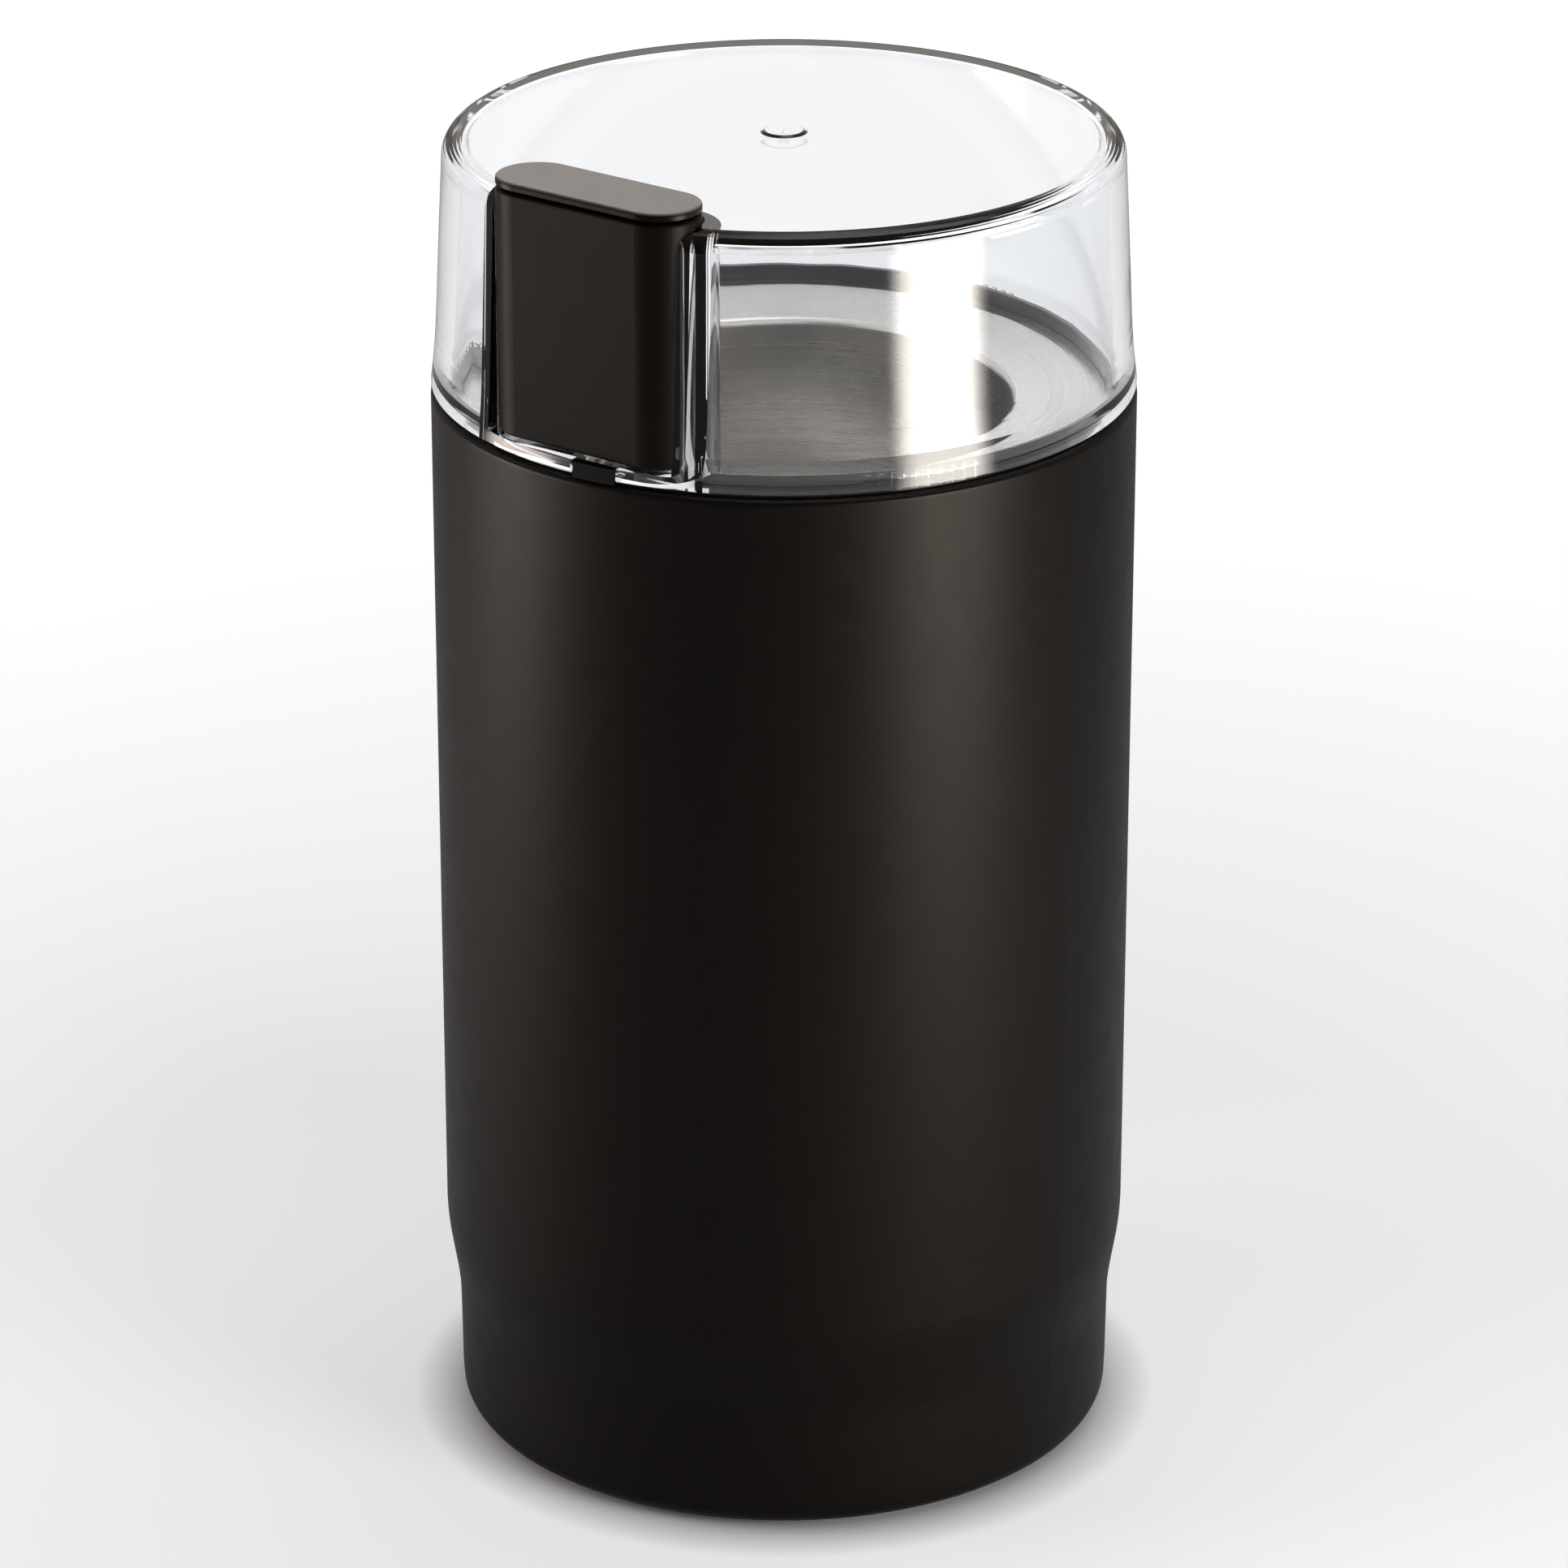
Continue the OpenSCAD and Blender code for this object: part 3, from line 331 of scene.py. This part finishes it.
def blade_finish():
    return metal("ground_steel", (0.66, 0.655, 0.64), 0.2, "drawn",
                 pitch=0.3 * MM, depth=4 * MICRON, axis=X)


def nut_finish():
    return metal("polished_steel", (0.68, 0.67, 0.65), 0.13, "turned", pitch=0.2 * MM, depth=3 * MICRON)


def fastener_finish():
    return metal("zinc_plate", (0.6, 0.6, 0.62), 0.32, "turned", pitch=0.2 * MM, depth=4 * MICRON)


def spring_finish():
    return metal("spring_wire", (0.5, 0.49, 0.48), 0.26, "drawn", pitch=0.1 * MM, depth=3 * MICRON)


def bracket_finish():
    return metal("cast_alloy", (0.42, 0.42, 0.43), 0.46, "cast", pitch=0.8 * MM, depth=40 * MICRON)


def bushing_finish():
    return metal("sintered_bronze", (0.42, 0.27, 0.12), 0.45, "cast",
                 pitch=0.2 * MM, depth=20 * MICRON, mottle=0.15)


def brass_finish():
    return metal("pressed_brass", (0.62, 0.44, 0.16), 0.28, "drawn",
                 pitch=0.3 * MM, depth=4 * MICRON, axis=Y, mottle=0.1)


def commutator_finish():
    return metal("worn_copper", (0.6, 0.27, 0.14), 0.3, "turned",
                 pitch=0.25 * MM, depth=8 * MICRON, mottle=0.18)


def lamination_finish():
    """Stacked steel sheets half a millimetre thick, oiled and slightly browned."""
    half_sheet = 0.25 * MM
    g = metal("laminated_steel", (0.2, 0.195, 0.19), 0.42, "cast", pitch=0.5 * MM, mottle=0.2)
    rise = g.maths("PINGPONG", g.split()[Z], half_sheet)
    g.bumped(g.maths("DIVIDE", rise, half_sheet), 50 * MICRON)
    return g


def winding_finish():
    """Enamelled copper wire wound in close turns, with painted shade in the grooves between turns and a
    painted highlight on the tops of the turns.
    """
    up, round_spindle = 9000.0, 60.0  # the turns' phase, in radians per metre up and per radian round
    g = Finish("enamelled_copper", (0.36, 0.1, 0.03), 0.22, metallic=0.65)
    g.put("Coat Weight", 0.7)
    g.put("Coat Roughness", 0.1)
    x, y, z = g.split()
    turn = g.maths("ARCTAN2", y, x)
    phase = g.maths("ADD", g.maths("MULTIPLY", z, up), g.maths("MULTIPLY", turn, round_spindle))
    wires = g.maths("ABSOLUTE", g.maths("SINE", phase))
    # painted shade and highlight: darker in the grooves between turns, lighter on the tops of the turns
    between, painted_highlight_crown = (0.12, 0.025, 0.008), (0.52, 0.17, 0.06)
    g.tint(g.spread(wires, 0, 1, 0, 1), between, painted_highlight_crown)
    g.bumped(wires, 120 * MICRON)
    return g


def lid_finish():
    """Clear moulded plastic: faint waves from the mould, fine scratches, light passing to what it covers."""
    g = Finish("clear_lid", (0.9, 0.912, 0.93), 0.02)
    g.put("Transmission Weight", 1.0)
    g.put("IOR", 1.49)
    scratches = g.noise(0.6 * MM, 6, distortion=2.0)
    g.put("Roughness", g.spread(scratches, low=0.012, high=0.035, start=0.45, end=0.75))
    g.bumped(g.noise(12 * MM, 1), 30 * MICRON)
    clear = g.node("ShaderNodeBsdfTransparent", {"Color": rgba((0.93, 0.93, 0.92))}).outputs[0]
    inputs = {0: g.rays()["Is Shadow Ray"], 1: g.shader.outputs[0], 2: clear}
    mixer = g.node("ShaderNodeMixShader", inputs)
    g.fill(g.tree.nodes["Material Output"].inputs["Surface"], mixer.outputs[0])
    return g


FINISHES = {
    "sleeve_black": sleeve_finish, "deck_black": deck_finish, "cover_black": cover_finish,
    "rubber_black": rubber_finish, "bowl_steel": bowl_finish, "blade_steel": blade_finish,
    "nut_steel": nut_finish, "chassis_grey": chassis_finish, "fastener_steel": fastener_finish,
    "bracket_alloy": bracket_finish, "bushing_bronze": bushing_finish,
    "lamination_steel": lamination_finish, "coil_copper": winding_finish,
    "commutator_copper": commutator_finish, "holder_brass": brass_finish,
    "brush_carbon": carbon_finish, "spring_steel": spring_finish, "switch_black": switch_finish,
    "block_white": block_finish, "lead_red": lead_finish, "fan_black": fan_finish,
    "nylon_white": nylon_finish, "button_red": button_finish, "lid_clear": lid_finish,
    "bar_black": bar_finish, "cap_black": cap_finish,
}


def dress_nodes():
    """Each CAD node takes the finish of its material slot. Returns the materials by slot."""
    made = {slot: finish().material for slot, finish in FINISHES.items()}
    for part in frame["record"]["subparts"]:
        piece = frame["nodes"][part["node"]]
        for slot in piece.material_slots:
            slot.material = made[part["material_slot"]]
    return made


def closing_spring(node, body, finish):
    """A copy of a coil spring with the given finish, riding on body in place of the hidden original."""
    solid = frame["nodes"][node]
    coil = bpy.data.objects.new(node + "_coil", solid.data.copy())
    bpy.context.scene.collection.objects.link(coil)
    coil.matrix_world = solid.matrix_world.copy()
    coil.data.materials.clear()
    coil.data.materials.append(finish)
    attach(coil, body)
    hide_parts(node)
    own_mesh(coil)


def springs(finish):
    closing_spring("bar_spring", "lid", finish)
    closing_spring("plunger_spring", "base", finish)


# ---- Studio ----

def towards(turn, distance, height):
    """A point at a turn from the camera's side, positive to the camera's right."""
    angle = CAMERA_AZIMUTH + math.radians(turn)
    return Vector((distance * math.sin(angle), -distance * math.cos(angle), height))


def fade(lamp, margin):
    """The lamp's face dims smoothly towards its edges, over margin of its width and height."""
    g = Nodes(lamp)
    face = g.node("ShaderNodeNewGeometry").outputs["Parametric"]
    across = g.node("ShaderNodeSeparateXYZ", {0: face}).outputs
    edges = [g.maths("PINGPONG", across[axis], 0.5) for axis in (X, Y)]
    dims = [g.spread(edge, 0, 1, 0, margin, interpolation_type="SMOOTHSTEP") for edge in edges]
    g.fill(g.tree.nodes["Emission"].inputs["Strength"], g.maths("MULTIPLY", *dims))


def softbox(name, *, turn, distance, height, size, strength, colour):
    """A rectangular lamp aimed at the object. Its power goes by its size, so strength is its face's own."""
    lamp = bpy.data.lights.new(name, "AREA")
    lamp.shape = "RECTANGLE"
    lamp.size, lamp.size_y = size
    lamp.energy = strength * math.pi * size[0] * size[1]
    lamp.color = colour
    fade(lamp, margin=0.3)
    thing = bpy.data.objects.new(name, lamp)
    thing.location = towards(turn, distance, height)
    thing.rotation_euler = (AIM - thing.location).to_track_quat("-Z", "Y").to_euler()
    thing.visible_camera = False
    bpy.context.scene.collection.objects.link(thing)


def lamps():
    """A low warm lamp at each side for the sleeve's two streaks, and dim ones behind and above."""
    softbox("left_box", turn=-89, distance=0.4, height=0.1, size=(0.28, 0.25),
            strength=9.6, colour=(1.0, 0.88, 0.8))
    softbox("right_box", turn=50, distance=0.4, height=0.1, size=(0.26, 0.25),
            strength=17.9, colour=(1.0, 0.93, 0.86))
    neutral = (1.0, 0.98, 0.96)
    softbox("back_box", turn=180, distance=1.3, height=0.62, size=(1.1, 0.5), strength=0.5, colour=neutral)
    softbox("top_box", turn=150, distance=0.3, height=1.1, size=(0.8, 0.8), strength=1.5, colour=neutral)


def world():
    """Bright behind the object and dim in front of it, with white for what eye and glass rays see."""
    made = bpy.data.worlds.new("studio")
    bpy.context.scene.world = made
    g = Nodes(made)
    inputs = {0: g.node("ShaderNodeTexCoord").outputs["Generated"], 1: towards(180, 1, 0)}
    behind = g.node("ShaderNodeVectorMath", inputs, operation="DOT_PRODUCT").outputs["Value"]
    front, back = (0.06, 0.06, 0.06), (0.38, 0.34, 0.3)
    room = g.blend(g.spread(behind, 0, 1, -1, 1), rgba(front), rgba(back))
    page = g.blend(g.eye_or_glass(), room, rgba(WHITE))
    g.fill(g.tree.nodes["Background"].inputs["Color"], page)


def floor():
    """A pale floor that keeps the object's shadow; eye, mirror and glass rays see it a little whiter."""
    side = 6.0
    foot_edge, past_foot = 0.041, 0.05  # no glow under the object, whose slots would show it
    near, far = 0.12, 0.42  # the glow rises between these, from dim to bright
    dim, bright = 0.5, 0.9
    mirror_share = 0.1  # of the glow, for mirror rays
    mesh = bpy.data.meshes.new("floor")
    corners = [(-side, -side, 0), (side, -side, 0), (side, side, 0), (-side, side, 0)]
    mesh.from_pydata(corners, [], [(0, 1, 2, 3)])
    plane = bpy.data.objects.new("floor", mesh)
    bpy.context.scene.collection.objects.link(plane)
    g = Finish("pale_floor", (0.52, 0.55, 0.58), 0.9)
    g.put("Specular IOR Level", 0.0)
    g.put("Emission Color", rgba(WHITE))
    mirrored = g.maths("MULTIPLY", g.rays()["Is Glossy Ray"], mirror_share)
    seen = g.maths("MAXIMUM", g.eye_or_glass(), mirrored)
    reach = g.radius()
    uncovered = g.spread(reach, 0, 1, foot_edge, past_foot)
    glow = g.maths("MULTIPLY", uncovered, g.spread(reach, dim, bright, near, far))
    g.put("Emission Strength", g.maths("MULTIPLY", seen, glow))
    mesh.materials.append(g.material)


def camera():
    """The photograph's view, with no shift and no depth of field."""
    lens = bpy.data.cameras.new("camera")
    lens.sensor_width = SENSOR
    lens.sensor_fit = "HORIZONTAL"
    lens.lens = FOCAL_PIXELS / IMAGE_SIDE * SENSOR
    lens.clip_start = 0.01
    thing = bpy.data.objects.new("camera", lens)
    level = CAMERA_DISTANCE * math.cos(CAMERA_ELEVATION)
    thing.location = towards(0, level, AIM.z + CAMERA_DISTANCE * math.sin(CAMERA_ELEVATION))
    thing.rotation_euler = (math.pi / 2 - CAMERA_PITCH, 0, CAMERA_AZIMUTH)
    bpy.context.scene.collection.objects.link(thing)
    bpy.context.scene.camera = thing


bpy.context.scene.view_settings.view_transform = "Standard"
camera()
floor()
world()
lamps()
finishes = dress_nodes()
springs(finishes["spring_steel"])
